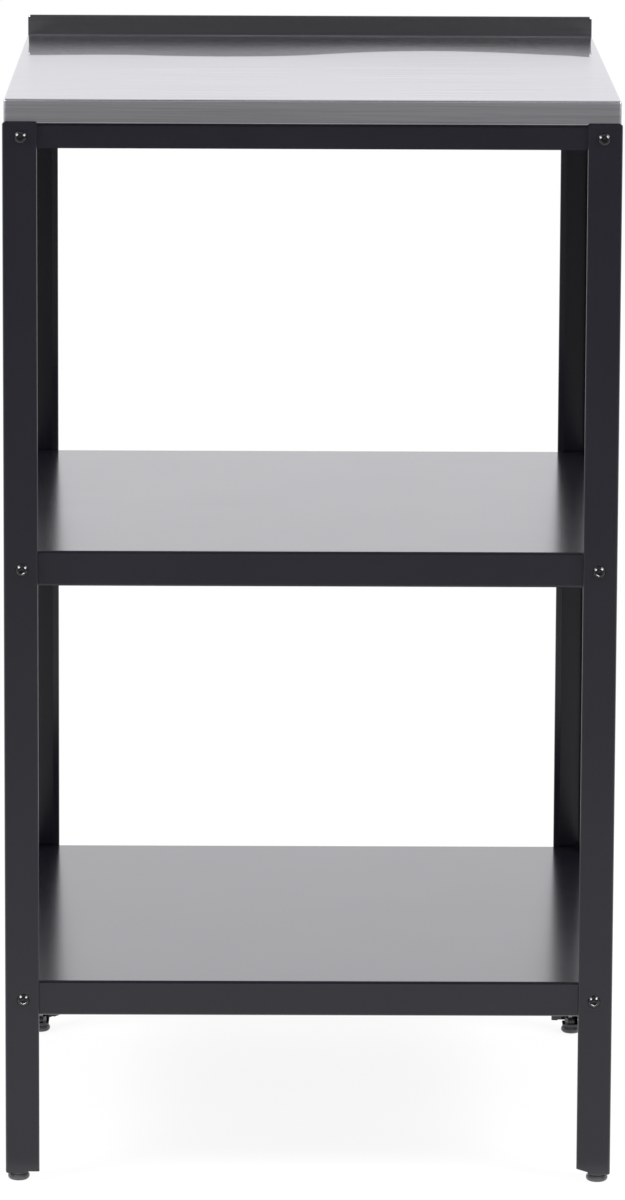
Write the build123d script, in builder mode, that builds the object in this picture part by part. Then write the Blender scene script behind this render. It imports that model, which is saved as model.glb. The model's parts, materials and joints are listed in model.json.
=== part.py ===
from build123d import *

import math
import os

# Open outdoor kitchen module: folded angle legs, tray shelves and a stainless worktop.
# Millimetres. The origin is on the floor under the middle, +Z up, and the front faces -Y.

# Overall sizes
width = 500.0
depth = 500.0
worktop_height = 900.0
middle_shelf_height = 530.0
lower_shelf_height = 170.0

# Legs: folded angles whose free edges are hemmed inwards
leg_sheet = 1.5
leg_flange = 28.0
leg_bend_radius = 2.5
hem_lip = 4.0
hem_inner_radius = 0.3
hem_opening = 10.0
hem_clearance = 0.05
leg_lap = 1.5
leg_top_corner = 2.5
side_flange_drop = 3.0
hem_top_clearance = 1.0

# Foot tabs, folded in at the bottom of each leg
tab_length = 18.5
tab_fold_radius = 1.4
tab_corner = 3.0
tab_gap = 0.3
tab_relief_start = 0.9
tab_relief_rise = 3.0

# Shelves: folded trays
shelf_sheet = 1.2
shelf_lip = 29.0
shelf_return = 12.0
shelf_bend_radius = 2.0
shelf_bolt_drop = 15.5

# Top rails: a mitred frame of angles
rail_sheet = 1.5
rail_height = 20.0
rail_flange = 20.0
rail_bend_radius = 2.0
rail_bolt_drop = 11.0

# Worktop: a stainless pan with returns at the foot of its skirts, and a hemmed upstand
top_sheet = 1.0
skirt_height = 20.0
skirt_return = 15.0
skirt_bend_radius = 2.0
skirt_corner_radius = 2.5
skirt_clearance = 0.2
worktop_side_inset = 1.2
upstand_height = 18.0
upstand_end_inset = 0.8
upstand_corner = 3.0
upstand_edge_radius = 0.9
upstand_cove = 1.5

# Hat channels under the worktop and the shelves
hat_sheet = 1.2
hat_depth = 13.0
hat_crown = 26.0
hat_mouth = 36.0
hat_width = 60.0
hat_bend_radius = 2.0
hat_end_gap = 20.0

# Leg bolts (M6 button head) and their collared rivet nuts
bolt_inset = 15.0
bolt_radius = 3.0
bolt_length = 16.0
bolt_head_radius = 5.25
bolt_head_height = 3.3
bolt_head_rim = 0.6
bolt_head_flat = 3.1
bolt_socket_flats = 4.0
bolt_socket_depth = 2.2
bolt_hole_clearance = 0.3
thread_clearance = 0.05
rivet_nut_radius = 4.5
rivet_nut_length = 9.0
rivet_collar_radius = 6.5

# Worktop screws, driven up through the rails into the returns
screw_radius = 2.1
screw_length = 8.0
screw_head_radius = 4.0
screw_head_height = 2.4
screw_inset = 11.0
screw_spacing = 300.0

# Levelling feet
foot_inset = 10.5
glide_radius = 9.0
glide_height = 6.8
glide_base_radius = 6.6
glide_bulge_height = 3.2
glide_shoulder_height = 5.7
glide_neck_radius = 7.4
glide_floor = 1.8
glide_seat_gap = 0.2
stem_radius = 2.95
stem_length = 30.0
stem_tip_chamfer = 0.6
stem_slot_width = 1.2
stem_slot_depth = 1.8
stem_collar_radius = 5.0
stem_collar_height = 2.0
stem_play = 0.1
stem_hole_clearance = 0.35
weld_nut_flats = 10.0
weld_nut_height = 5.0

# Levels and lines that several pieces share
skirt_bottom = worktop_height - skirt_height
rail_bottom = skirt_bottom - rail_height
leg_top = skirt_bottom + leg_lap
side_flange_top = leg_top - side_flange_drop
hem_top = skirt_bottom - hem_top_clearance
tab_bottom = glide_height + glide_seat_gap
tab_top = tab_bottom + leg_sheet
hem_radius = leg_sheet + hem_inner_radius
hem_angle = math.radians(hem_opening)
hem_reach = hem_radius * (1 + math.cos(hem_angle)) + hem_lip * math.sin(hem_angle)
inset = hem_reach + hem_clearance
stand_off = inset - leg_sheet
inner_width = width - 2 * inset
inner_depth = depth - 2 * inset
bolt_x = width / 2 - bolt_inset
rivet_hole_radius = rivet_nut_radius + thread_clearance
screw_hole_radius = screw_radius + thread_clearance
bolt_heights = {
    "top": skirt_bottom - rail_bolt_drop,
    "middle": middle_shelf_height - shelf_bolt_drop,
    "lower": lower_shelf_height - shelf_bolt_drop,
}

os.makedirs("parts", exist_ok=True)


def keep(piece, name):
    """Label a finished piece and write it under its node name."""
    piece.label = name
    export_step(piece, f"parts/{name}.step")


def quarter(turns):
    """Return the directions along and inwards of the side reached after some quarter turns."""
    along = Vector(1, 0, 0).rotate(Axis.Z, 90 * turns)
    inwards = Vector(0, 1, 0).rotate(Axis.Z, 90 * turns)
    return along, inwards


def corner_point(turns, inward):
    """Return the floor point of a corner, moved in from both outer faces."""
    x_side = 1 if turns in (1, 2) else -1
    y_side = 1 if turns in (2, 3) else -1
    return Vector(x_side * (width / 2 - inward), y_side * (depth / 2 - inward), 0)


def box_between(low, high):
    """Draw a rectangle in the current sketch from its low and high corners."""
    with Locations(((low[0] + high[0]) / 2, (low[1] + high[1]) / 2)):
        Rectangle(high[0] - low[0], high[1] - low[1])


# Legs: one folded part in four quarter turns, with the tab on the flange along "inwards"
leg_names = ["leg_front_left", "leg_front_right", "leg_rear_right", "leg_rear_left"]

for turns, leg_name in enumerate(leg_names):
    along, inwards = quarter(turns)
    corner = corner_point(turns, 0)
    plan = Plane(corner, x_dir=along, z_dir=(0, 0, 1))
    plain_face = Plane(corner, x_dir=along, z_dir=-inwards)
    tab_face = Plane(corner, x_dir=inwards, z_dir=along)
    bolts_on_plain = turns % 2 == 0
    bolt_face = plain_face if bolts_on_plain else tab_face
    side_face = tab_face if bolts_on_plain else plain_face
    past_flange = leg_flange + leg_sheet
    past_hem = hem_reach + leg_sheet

    with BuildPart() as leg:
        with BuildSketch(plan.offset(tab_bottom)):
            with BuildLine():
                side = Line((0, leg_flange - hem_radius), (0, leg_bend_radius))
                bend = JernArc(side @ 1, (0, -1), leg_bend_radius, 90)
                front = Line(bend @ 1, (leg_flange - hem_radius, 0))
                front_hem = JernArc(front @ 1, (1, 0), hem_radius, 180 - hem_opening)
                PolarLine(front_hem @ 1, hem_lip, direction=front_hem % 1)
                side_hem = JernArc(side @ 0, (0, 1), hem_radius, hem_opening - 180)
                PolarLine(side_hem @ 1, hem_lip, direction=side_hem % 1)
                offset(amount=leg_sheet, side=Side.LEFT)
            make_face()
        extrude(amount=leg_top - tab_bottom)

        # The bolted flange has rounded top corners
        with BuildSketch(bolt_face) as outline:
            box_between((0, tab_bottom), (leg_flange, leg_top))
            fillet(outline.vertices().group_by(Axis.Y)[-1], leg_top_corner)
        extrude(amount=past_flange, both=True, mode=Mode.INTERSECT)

        # The side flange stops under the worktop's skirt, and the hems stop below it
        with BuildSketch(side_face):
            box_between((leg_bend_radius, side_flange_top), (past_flange, leg_top + leg_lap))
        extrude(amount=past_hem, both=True, mode=Mode.SUBTRACT)
        with BuildSketch(plan.offset(hem_top)):
            with BuildLine():
                hem_start = leg_flange - hem_lip - 2 * hem_radius
                hem_corners = [
                    (hem_start, leg_sheet),
                    (past_flange, leg_sheet),
                    (past_flange, past_hem),
                    (hem_start, past_hem),
                ]
                Polyline([p if bolts_on_plain else p[::-1] for p in hem_corners], close=True)
            make_face()
        extrude(amount=leg_top - hem_top, mode=Mode.SUBTRACT)

        # The plain flange stops above the tab, and the tab's own flange is relieved beside it
        with BuildSketch(plain_face):
            box_between((leg_bend_radius, 0), (past_flange, tab_top + tab_gap))
        extrude(amount=past_hem, both=True, mode=Mode.SUBTRACT)
        with BuildSketch(tab_face):
            relief_foot = tab_top + tab_relief_start
            with BuildLine():
                Polyline(
                    (tab_length, 0),
                    (tab_length, relief_foot),
                    (leg_flange, relief_foot + tab_relief_rise),
                    (past_flange, relief_foot + tab_relief_rise),
                    (past_flange, 0),
                    close=True,
                )
            make_face()
        extrude(amount=past_hem, both=True, mode=Mode.SUBTRACT)

        # The foot tab, folded in with a rounded outer edge
        with BuildSketch(plan.offset(tab_bottom)) as tab:
            box_between((leg_sheet / 2, leg_sheet), (tab_length, tab_length))
            chamfer(tab.vertices().group_by(Axis.X)[-1], tab_corner)
        extrude(amount=leg_sheet)
        lowest = leg.edges().group_by(Axis.Z)[0]
        fillet(lowest.sort_by(Axis(corner, along))[:2], tab_fold_radius)

        # Holes for the leg bolts and the foot stem
        with BuildSketch(bolt_face):
            with Locations([(bolt_inset, height) for height in bolt_heights.values()]):
                Circle(bolt_radius + bolt_hole_clearance)
        extrude(amount=leg_sheet, both=True, mode=Mode.SUBTRACT)
        with BuildSketch(plan.offset(tab_bottom)):
            with Locations((foot_inset, foot_inset)):
                Circle(stem_radius + stem_hole_clearance)
        extrude(amount=leg_sheet, mode=Mode.SUBTRACT)
    keep(leg.part, leg_name)

# Top rails: four angles, mitred at the corners, the front and rear ones bolted to the legs
rail_names = ["top_rail_front", "top_rail_right", "top_rail_rear", "top_rail_left"]

for turns, rail_name in enumerate(rail_names):
    along, inwards = quarter(turns)
    bolted = turns % 2 == 0
    half_length = (inner_width if bolted else inner_depth) / 2
    face_middle = -inwards * ((inner_depth if bolted else inner_width) / 2)
    with BuildPart() as rail:
        with BuildSketch(Plane(face_middle, x_dir=inwards, z_dir=along)):
            with BuildLine():
                FilletPolyline(
                    (0, rail_bottom),
                    (0, skirt_bottom),
                    (rail_flange, skirt_bottom),
                    radius=rail_bend_radius,
                )
                offset(amount=rail_sheet, side=Side.RIGHT)
            make_face()
        extrude(amount=half_length, both=True)
        for end in (-along, along):
            split(bisect_by=Plane(face_middle + end * half_length, z_dir=end + inwards), keep=Keep.BOTTOM)
        if bolted:
            with BuildSketch(Plane(face_middle, x_dir=along, z_dir=-inwards)):
                with Locations((-bolt_x, bolt_heights["top"]), (bolt_x, bolt_heights["top"])):
                    Circle(rivet_hole_radius)
            extrude(amount=rail_sheet, both=True, mode=Mode.SUBTRACT)
        with BuildSketch(Plane(face_middle, x_dir=along, z_dir=(0, 0, 1)).offset(skirt_bottom)):
            with Locations((0, screw_inset - inset)):
                with GridLocations(screw_spacing, 0, 2, 1):
                    Circle(screw_hole_radius)
        extrude(amount=-rail_sheet, mode=Mode.SUBTRACT)
    keep(rail.part, rail_name)

# Shelves: trays whose front and rear lips turn in at the foot, open at the folded corners
shelf_heights = {"shelf_middle": middle_shelf_height, "shelf_lower": lower_shelf_height}

for shelf_name, shelf_top in shelf_heights.items():
    lip_foot = shelf_top - shelf_lip
    half_width = inner_width / 2
    half_depth = inner_depth / 2
    with BuildPart() as shelf:
        with BuildSketch(Plane.YZ):
            with BuildLine():
                FilletPolyline(
                    (shelf_return - half_depth, lip_foot),
                    (-half_depth, lip_foot),
                    (-half_depth, shelf_top),
                    (half_depth, shelf_top),
                    (half_depth, lip_foot),
                    (half_depth - shelf_return, lip_foot),
                    radius=shelf_bend_radius,
                )
                offset(amount=shelf_sheet, side=Side.RIGHT)
            make_face()
        extrude(amount=half_width - shelf_bend_radius, both=True)
        with BuildSketch(Plane.XZ):
            with BuildLine():
                FilletPolyline(
                    (-half_width, lip_foot),
                    (-half_width, shelf_top),
                    (half_width, shelf_top),
                    (half_width, lip_foot),
                    radius=shelf_bend_radius,
                )
                offset(amount=shelf_sheet, side=Side.RIGHT)
            make_face()
        extrude(amount=half_depth - shelf_bend_radius, both=True)
        with BuildSketch(Plane.XZ):
            with Locations((0, shelf_top - shelf_bolt_drop)):
                with GridLocations(2 * bolt_x, 0, 2, 1):
                    Circle(rivet_hole_radius)
        extrude(amount=depth, both=True, mode=Mode.SUBTRACT)
    keep(shelf.part, shelf_name)

# Worktop: the hollow of the pan and its upstand are made first, then joined to the pan
worktop_width = width - 2 * worktop_side_inset
worktop_depth = depth - 2 * (leg_sheet + skirt_clearance)
worktop_rear = worktop_depth / 2
upstand_width = worktop_width - 2 * upstand_end_inset
upstand_front = worktop_rear - 2 * top_sheet

with BuildPart() as pan_hollow:
    with BuildSketch(Plane.XY.offset(skirt_bottom + top_sheet)):
        RectangleRounded(
            worktop_width - 2 * top_sheet,
            worktop_depth - 2 * top_sheet,
            skirt_corner_radius - top_sheet,
        )
    extrude(amount=skirt_height - 2 * top_sheet)
    hollow_rims = pan_hollow.edges().group_by(Axis.Z)
    fillet(hollow_rims[0] + hollow_rims[-1], skirt_bend_radius - top_sheet)

with BuildPart() as upstand:
    with BuildSketch(Plane((0, worktop_rear, 0), x_dir=(1, 0, 0), z_dir=(0, -1, 0))) as upstand_face:
        box_between(
            (-upstand_width / 2, worktop_height - skirt_bend_radius),
            (upstand_width / 2, worktop_height + upstand_height),
        )
        fillet(upstand_face.vertices().group_by(Axis.Y)[-1], upstand_corner)
    extrude(amount=2 * top_sheet)
    fillet(upstand.edges().filter_by(Axis.X).group_by(Axis.Z)[-1], upstand_edge_radius)

with BuildPart() as worktop:
    with BuildSketch(Plane.XY.offset(skirt_bottom)):
        RectangleRounded(worktop_width, worktop_depth, skirt_corner_radius)
    extrude(amount=skirt_height)
    pan_rims = worktop.edges().group_by(Axis.Z)
    fillet(pan_rims[0] + pan_rims[-1], skirt_bend_radius)
    add(upstand.part)
    add(pan_hollow.part, mode=Mode.SUBTRACT)
    with BuildSketch(Plane.XY.offset(skirt_bottom)):
        RectangleRounded(
            worktop_width - 2 * skirt_return,
            worktop_depth - 2 * skirt_return,
            skirt_corner_radius,
        )
    extrude(amount=top_sheet, mode=Mode.SUBTRACT)
    with BuildSketch(Plane.YZ):
        box_between(
            (upstand_front - upstand_cove, worktop_height - top_sheet / 2),
            (upstand_front, worktop_height + upstand_cove),
        )
        with Locations((upstand_front - upstand_cove, worktop_height + upstand_cove)):
            Circle(upstand_cove, mode=Mode.SUBTRACT)
    extrude(amount=worktop_width / 2 - skirt_corner_radius, both=True)
    with BuildSketch(Plane.XY.offset(skirt_bottom)):
        with GridLocations(screw_spacing, depth - 2 * screw_inset, 2, 2):
            Circle(screw_hole_radius)
        with GridLocations(width - 2 * screw_inset, screw_spacing, 2, 2):
            Circle(screw_hole_radius)
    extrude(amount=top_sheet, mode=Mode.SUBTRACT)
keep(worktop.part, "worktop")

# Stiffeners: hat channels across the middle of each sheet, against its underside
stiffened = {
    "worktop_stiffener": (worktop_height - top_sheet, worktop_width),
    "shelf_middle_stiffener": (middle_shelf_height - shelf_sheet, inner_width),
    "shelf_lower_stiffener": (lower_shelf_height - shelf_sheet, inner_width),
}

for hat_name, (hat_seat, sheet_width) in stiffened.items():
    with BuildPart() as hat:
        with BuildSketch(Plane.YZ):
            with BuildLine():
                FilletPolyline(
                    (-hat_width / 2, hat_seat),
                    (-hat_mouth / 2, hat_seat),
                    (-hat_crown / 2, hat_seat - hat_depth),
                    (hat_crown / 2, hat_seat - hat_depth),
                    (hat_mouth / 2, hat_seat),
                    (hat_width / 2, hat_seat),
                    radius=hat_bend_radius,
                )
                offset(amount=hat_sheet, side=Side.RIGHT)
            make_face()
        extrude(amount=sheet_width / 2 - hat_end_gap, both=True)
    keep(hat.part, hat_name)

# Leg bolt and rivet nut, drawn once with the leg's outer face at zero and +Z outwards
with BuildPart() as bolt:
    with BuildSketch(Plane.XZ):
        with BuildLine():
            Polyline((0, bolt_head_height), (0, 0), (bolt_head_radius, 0), (bolt_head_radius, bolt_head_rim))
            RadiusArc(
                (bolt_head_radius, bolt_head_rim),
                (bolt_head_flat, bolt_head_height),
                -bolt_head_radius,
            )
            Line((bolt_head_flat, bolt_head_height), (0, bolt_head_height))
        make_face()
    revolve(axis=Axis.Z)
    with BuildSketch():
        Circle(bolt_radius)
    extrude(amount=-bolt_length)
    with BuildSketch(Plane.XY.offset(bolt_head_height)):
        RegularPolygon(bolt_socket_flats / 2, 6, major_radius=False)
    extrude(amount=-bolt_socket_depth, mode=Mode.SUBTRACT)

with BuildPart() as rivet_nut:
    with BuildSketch(Plane.XY.offset(-leg_sheet)):
        Circle(rivet_collar_radius)
        Circle(bolt_radius + thread_clearance, mode=Mode.SUBTRACT)
    extrude(amount=-stand_off)
    with BuildSketch(Plane.XY.offset(-leg_sheet - stand_off)):
        Circle(rivet_nut_radius)
        Circle(bolt_radius + thread_clearance, mode=Mode.SUBTRACT)
    extrude(amount=-rivet_nut_length)

for level, bolt_height in bolt_heights.items():
    bolt_seats = [
        Plane((x, y_side * depth / 2, bolt_height), x_dir=(1, 0, 0), z_dir=(0, y_side, 0))
        for y_side in (-1, 1)
        for x in (-bolt_x, bolt_x)
    ]
    for group, single in ((f"leg_bolts_{level}", bolt), (f"rivet_nuts_{level}", rivet_nut)):
        with BuildPart() as fasteners:
            with Locations(*bolt_seats):
                add(single.part)
        keep(fasteners.part, group)

# Worktop screws: pan heads under the rails, shanks up into the returns
with BuildPart() as worktop_screws:
    for height, radius, amount in (
        (skirt_bottom - rail_sheet, screw_head_radius, -screw_head_height),
        (skirt_bottom - rail_sheet, screw_radius, screw_length),
    ):
        with BuildSketch(Plane.XY.offset(height)):
            with GridLocations(screw_spacing, depth - 2 * screw_inset, 2, 2):
                Circle(radius)
            with GridLocations(width - 2 * screw_inset, screw_spacing, 2, 2):
                Circle(radius)
        extrude(amount=amount)
    head_rims = worktop_screws.edges().group_by(Axis.Z)[0]
    fillet(head_rims, screw_head_height / 2)
keep(worktop_screws.part, "worktop_screws")

# Levelling feet: weld nuts on the tabs, and glides that carry captive stems
with BuildPart() as foot_weld_nuts:
    with BuildSketch(Plane.XY.offset(tab_top)):
        with GridLocations(width - 2 * foot_inset, depth - 2 * foot_inset, 2, 2):
            RegularPolygon(weld_nut_flats / 2, 6, major_radius=False)
            Circle(stem_radius + thread_clearance, mode=Mode.SUBTRACT)
    extrude(amount=weld_nut_height)
keep(foot_weld_nuts.part, "foot_weld_nuts")

cavity_top = glide_floor + stem_collar_height + 2 * stem_play
collar_foot = glide_floor + stem_play
collar_top = collar_foot + stem_collar_height
stem_top = collar_top + stem_length
stem_hole_radius = stem_radius + stem_hole_clearance
cavity_radius = stem_collar_radius + stem_hole_clearance

for turns, leg_name in enumerate(leg_names):
    foot_name = leg_name.removeprefix("leg_")
    foot = corner_point(turns, foot_inset)
    foot_axis = Axis(foot, (0, 0, 1))
    foot_section = Plane(foot, x_dir=(1, 0, 0), z_dir=(0, -1, 0))
    with BuildPart() as glide:
        with BuildSketch(foot_section):
            with BuildLine():
                Line((0, 0), (glide_base_radius, 0))
                ThreePointArc(
                    (glide_base_radius, 0),
                    (glide_radius, glide_bulge_height),
                    (glide_neck_radius, glide_shoulder_height),
                )
                Polyline(
                    (glide_neck_radius, glide_shoulder_height),
                    (glide_neck_radius, glide_height),
                    (stem_hole_radius, glide_height),
                    (stem_hole_radius, cavity_top),
                    (cavity_radius, cavity_top),
                    (cavity_radius, glide_floor),
                    (0, glide_floor),
                    (0, 0),
                )
            make_face()
        revolve(axis=foot_axis)
    keep(glide.part, f"foot_glide_{foot_name}")

    with BuildPart() as stem:
        with BuildSketch(foot_section):
            with BuildLine():
                Polyline(
                    (0, collar_foot),
                    (stem_collar_radius, collar_foot),
                    (stem_collar_radius, collar_top),
                    (stem_radius, collar_top),
                    (stem_radius, stem_top - stem_tip_chamfer),
                    (stem_radius - stem_tip_chamfer, stem_top),
                    (0, stem_top),
                    close=True,
                )
            make_face()
        revolve(axis=foot_axis)
        with BuildSketch(Plane(foot, z_dir=(0, 0, 1)).offset(stem_top)):
            Rectangle(4 * stem_radius, stem_slot_width)
        extrude(amount=-stem_slot_depth, mode=Mode.SUBTRACT)
    keep(stem.part, f"foot_stem_{foot_name}")
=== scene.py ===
"""Looks of a free-standing outdoor kitchen module.

Folded black legs and tray shelves carry a brushed stainless worktop on four levelling feet.
Meshes are drawn in millimetres and scaled to metres when they become objects.
"""
import json
import logging
import math
from dataclasses import dataclass
from enum import Enum
from typing import Any, Callable, Iterable

import bmesh
import bpy
from mathutils import Matrix, Vector


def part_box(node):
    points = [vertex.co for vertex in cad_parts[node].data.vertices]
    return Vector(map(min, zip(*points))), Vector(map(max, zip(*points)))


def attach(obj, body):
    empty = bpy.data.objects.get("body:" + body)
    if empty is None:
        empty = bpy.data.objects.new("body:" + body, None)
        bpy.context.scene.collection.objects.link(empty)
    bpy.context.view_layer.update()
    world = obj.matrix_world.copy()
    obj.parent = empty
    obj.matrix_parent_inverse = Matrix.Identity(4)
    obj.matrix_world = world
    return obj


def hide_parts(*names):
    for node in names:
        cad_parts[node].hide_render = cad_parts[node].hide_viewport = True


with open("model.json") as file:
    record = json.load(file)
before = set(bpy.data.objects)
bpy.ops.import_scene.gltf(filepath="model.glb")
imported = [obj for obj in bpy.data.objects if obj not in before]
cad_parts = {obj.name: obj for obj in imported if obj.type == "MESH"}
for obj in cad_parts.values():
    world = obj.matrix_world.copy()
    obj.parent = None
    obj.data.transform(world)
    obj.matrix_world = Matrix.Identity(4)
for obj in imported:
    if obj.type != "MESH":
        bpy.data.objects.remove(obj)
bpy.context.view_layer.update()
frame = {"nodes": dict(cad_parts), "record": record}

log = logging.getLogger("outdoor_kitchen_module")

MM = 0.001
MERGE_MM = 0.002
SMOOTH_BELOW = math.radians(35)
IMAGE_LONG_SIDE = 1200
FRAME_BODY = "frame"
# A mix node's inputs for its two colours, and its output for the mixed one
MIX_A, MIX_B, MIX_OUT = 6, 7, 2

Mesh = bmesh.types.BMesh
Verts = list[bmesh.types.BMVert]
Edges = list[bmesh.types.BMEdge]
Piece = bpy.types.Object
Node = bpy.types.Node
Tree = bpy.types.NodeTree
Socket = bpy.types.NodeSocket
Patterns = tuple[Socket, Socket, Socket]
Pair = tuple[float, float]
Place = tuple[float, float, float] | Vector


class Corner(Enum):
    """The four corners of the module, as the signs of their x and y."""

    FRONT_LEFT = (-1, -1)
    FRONT_RIGHT = (1, -1)
    REAR_RIGHT = (1, 1)
    REAR_LEFT = (-1, 1)

    @property
    def label(self) -> str:
        """Return the corner's name as the nodes and bodies spell it."""
        return self.name.lower()


class Level(Enum):
    """The three heights at which bolts hold the legs."""

    TOP = "top"
    MIDDLE = "middle"
    LOWER = "lower"


def linear(hex_colour: str) -> tuple[float, float, float, float]:
    """Turn an sRGB hex colour into the linear colour, with an alpha of one, that a shader takes."""
    shares = [int(hex_colour[i:i + 2], 16) / 255 for i in (1, 3, 5)]
    return (*(s / 12.92 if s <= 0.04045 else ((s + 0.055) / 1.055) ** 2.4 for s in shares), 1.0)


def per_mm(size_mm: float) -> float:
    """Return the texture scale that gives a pattern a size in millimetres."""
    return 1 / (size_mm * MM)


def add_node(tree: Tree, kind: str, inputs: dict[str | int, Any] | None = None, **settings: Any) -> Node:
    """Add a node with its settings, and fill or link its inputs.

    Args:
        tree: The node tree that the node joins.
        kind: The node's type name.
        inputs: Values, or sockets to link from, by input name or number.
        settings: Properties of the node itself.

    Returns:
        The new node.
    """
    node = tree.nodes.new(kind)
    for name, value in settings.items():
        setattr(node, name, value)
    for name, value in (inputs or {}).items():
        if isinstance(value, Socket):
            tree.links.new(value, node.inputs[name])
        else:
            node.inputs[name].default_value = value
    return node


@dataclass(frozen=True)
class Finish:
    """A surface finish of two near tones, made once and shared by every piece that wears it."""

    name: str
    slot: str
    dark: str
    light: str
    roughness: Pair
    relief_depth_mm: float
    relief_strength: float
    metallic: float = 0.0
    ior: float = 1.5
    film_weight: float = 0.0
    film_roughness: float = 0.03

    def patterns(self, tree: Tree, place: Socket) -> Patterns:
        """Draw the share of the light tone, the roughness and the relief over the places on a piece."""
        raise NotImplementedError

    def material(self) -> bpy.types.Material:
        """Return the finish's material, which is made on its first use.

        Returns:
            The material that every piece with this finish shares.
        """
        found = bpy.data.materials.get(self.name)
        if found is not None:
            return found
        made = bpy.data.materials.new(self.name)
        made.use_nodes = True
        tree = made.node_tree
        sockets = tree.nodes["Principled BSDF"].inputs
        place = add_node(tree, "ShaderNodeTexCoord").outputs["Object"]
        share, gloss, height = self.patterns(tree, place)
        tones = {0: share, MIX_A: linear(self.dark), MIX_B: linear(self.light)}
        tone = add_node(tree, "ShaderNodeMix", tones, data_type="RGBA").outputs[MIX_OUT]
        relief = {"Strength": self.relief_strength, "Distance": self.relief_depth_mm * MM, "Height": height}
        bump = add_node(tree, "ShaderNodeBump", relief).outputs["Normal"]
        for name, socket in {"Base Color": tone, "Roughness": gloss, "Normal": bump}.items():
            tree.links.new(socket, sockets[name])
        sockets["Metallic"].default_value = self.metallic
        sockets["IOR"].default_value = self.ior
        sockets["Coat Weight"].default_value = self.film_weight
        sockets["Coat Roughness"].default_value = self.film_roughness
        return made


@dataclass(frozen=True)
class BrushedStainless(Finish):
    """Stainless sheet, belt brushed along the length and rolled flat.

    It gives the eye long fine streaks, a hazy grey from in front and a clear mirror at low angles.
    """

    name: str = "brushed_stainless_sheet"
    slot: str = "brushed_stainless"
    dark: str = "#8d8d91"
    light: str = "#adadb1"
    roughness: Pair = (0.17, 0.25)
    relief_depth_mm: float = 0.02
    relief_strength: float = 0.03
    metallic: float = 1.0
    # The film stands for the clear mirror that rolled sheet is at low angles
    film_weight: float = 0.72
    film_roughness: float = 0.02
    # Real belt scratches are under 0.1 mm wide: they are drawn coarser so that they show
    scratch_mm: Pair = (90.0, 0.7)
    band_mm: Pair = (220.0, 3.5)
    streak_detail: float = 3.0
    streak_range: Pair = (0.12, 0.40)
    # The flat of the skirts, as its middle height and half its breadth: its brushing is coarser
    skirt_mm: Pair = (890.5, 8.5)
    skirt_haze: float = 0.30
    side_facing: float = 0.6

    def unroll(self, tree: Tree, axis: bpy.types.NodeOutputs) -> Socket:
        """Lay the skirts out flat beside the top, so that the brushing runs over the folds.

        Args:
            tree: The material's node tree.
            axis: The sockets of the place's x, y and z.

        Returns:
            A socket with the place on the flat sheet.
        """
        facing = add_node(tree, "ShaderNodeNewGeometry").outputs["Normal"]
        across = add_node(tree, "ShaderNodeSeparateXYZ", {"Vector": facing}).outputs["X"]
        turned = add_node(tree, "ShaderNodeMath", {0: across}, operation="ABSOLUTE").outputs[0]
        beside = {0: turned, 1: self.side_facing}
        side = add_node(tree, "ShaderNodeMath", beside, operation="GREATER_THAN").outputs[0]
        front = add_node(tree, "ShaderNodeMath", {0: 1.0, 1: side}, operation="SUBTRACT").outputs[0]
        along = {0: axis["Z"], 1: side, 2: axis["X"]}
        length = add_node(tree, "ShaderNodeMath", along, operation="MULTIPLY_ADD").outputs[0]
        over = {0: axis["Z"], 1: front, 2: axis["Y"]}
        breadth = add_node(tree, "ShaderNodeMath", over, operation="MULTIPLY_ADD").outputs[0]
        return add_node(tree, "ShaderNodeCombineXYZ", {"X": length, "Y": breadth}).outputs[0]

    def patterns(self, tree: Tree, place: Socket) -> Patterns:
        """Streak the sheet along x, and down the skirts that fold over at its sides.

        Args:
            tree: The material's node tree.
            place: The place on the piece.

        Returns:
            The share of the light tone, the roughness and the relief.
        """
        axis = add_node(tree, "ShaderNodeSeparateXYZ", {"Vector": place}).outputs
        unrolled = self.unroll(tree, axis)
        streaks = []
        for long_mm, wide_mm in (self.scratch_mm, self.band_mm):
            stretch = {"Vector": unrolled, "Scale": (per_mm(long_mm), per_mm(wide_mm), 1.0)}
            stretched = add_node(tree, "ShaderNodeMapping", stretch).outputs[0]
            noise = {"Vector": stretched, "Scale": 1.0, "Detail": self.streak_detail}
            streaks.append(add_node(tree, "ShaderNodeTexNoise", noise).outputs["Fac"])
        scratch, band = streaks
        both = add_node(tree, "ShaderNodeMath", {0: scratch, 1: band}, operation="MULTIPLY").outputs[0]
        faint, strong = self.streak_range
        spread = {"Value": both, "From Min": faint, "From Max": strong}
        share = add_node(tree, "ShaderNodeMapRange", spread).outputs["Result"]
        low, high = self.roughness
        hazes = {"Value": share, "To Min": high, "To Max": low}
        gloss = add_node(tree, "ShaderNodeMapRange", hazes).outputs["Result"]
        middle, half = self.skirt_mm
        flat = {0: axis["Z"], 1: middle * MM, 2: half * MM}
        skirt = add_node(tree, "ShaderNodeMath", flat, operation="COMPARE").outputs[0]
        coarser = {0: skirt, 1: self.skirt_haze, 2: gloss}
        rough = add_node(tree, "ShaderNodeMath", coarser, operation="MULTIPLY_ADD").outputs[0]
        return share, rough, scratch


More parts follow.
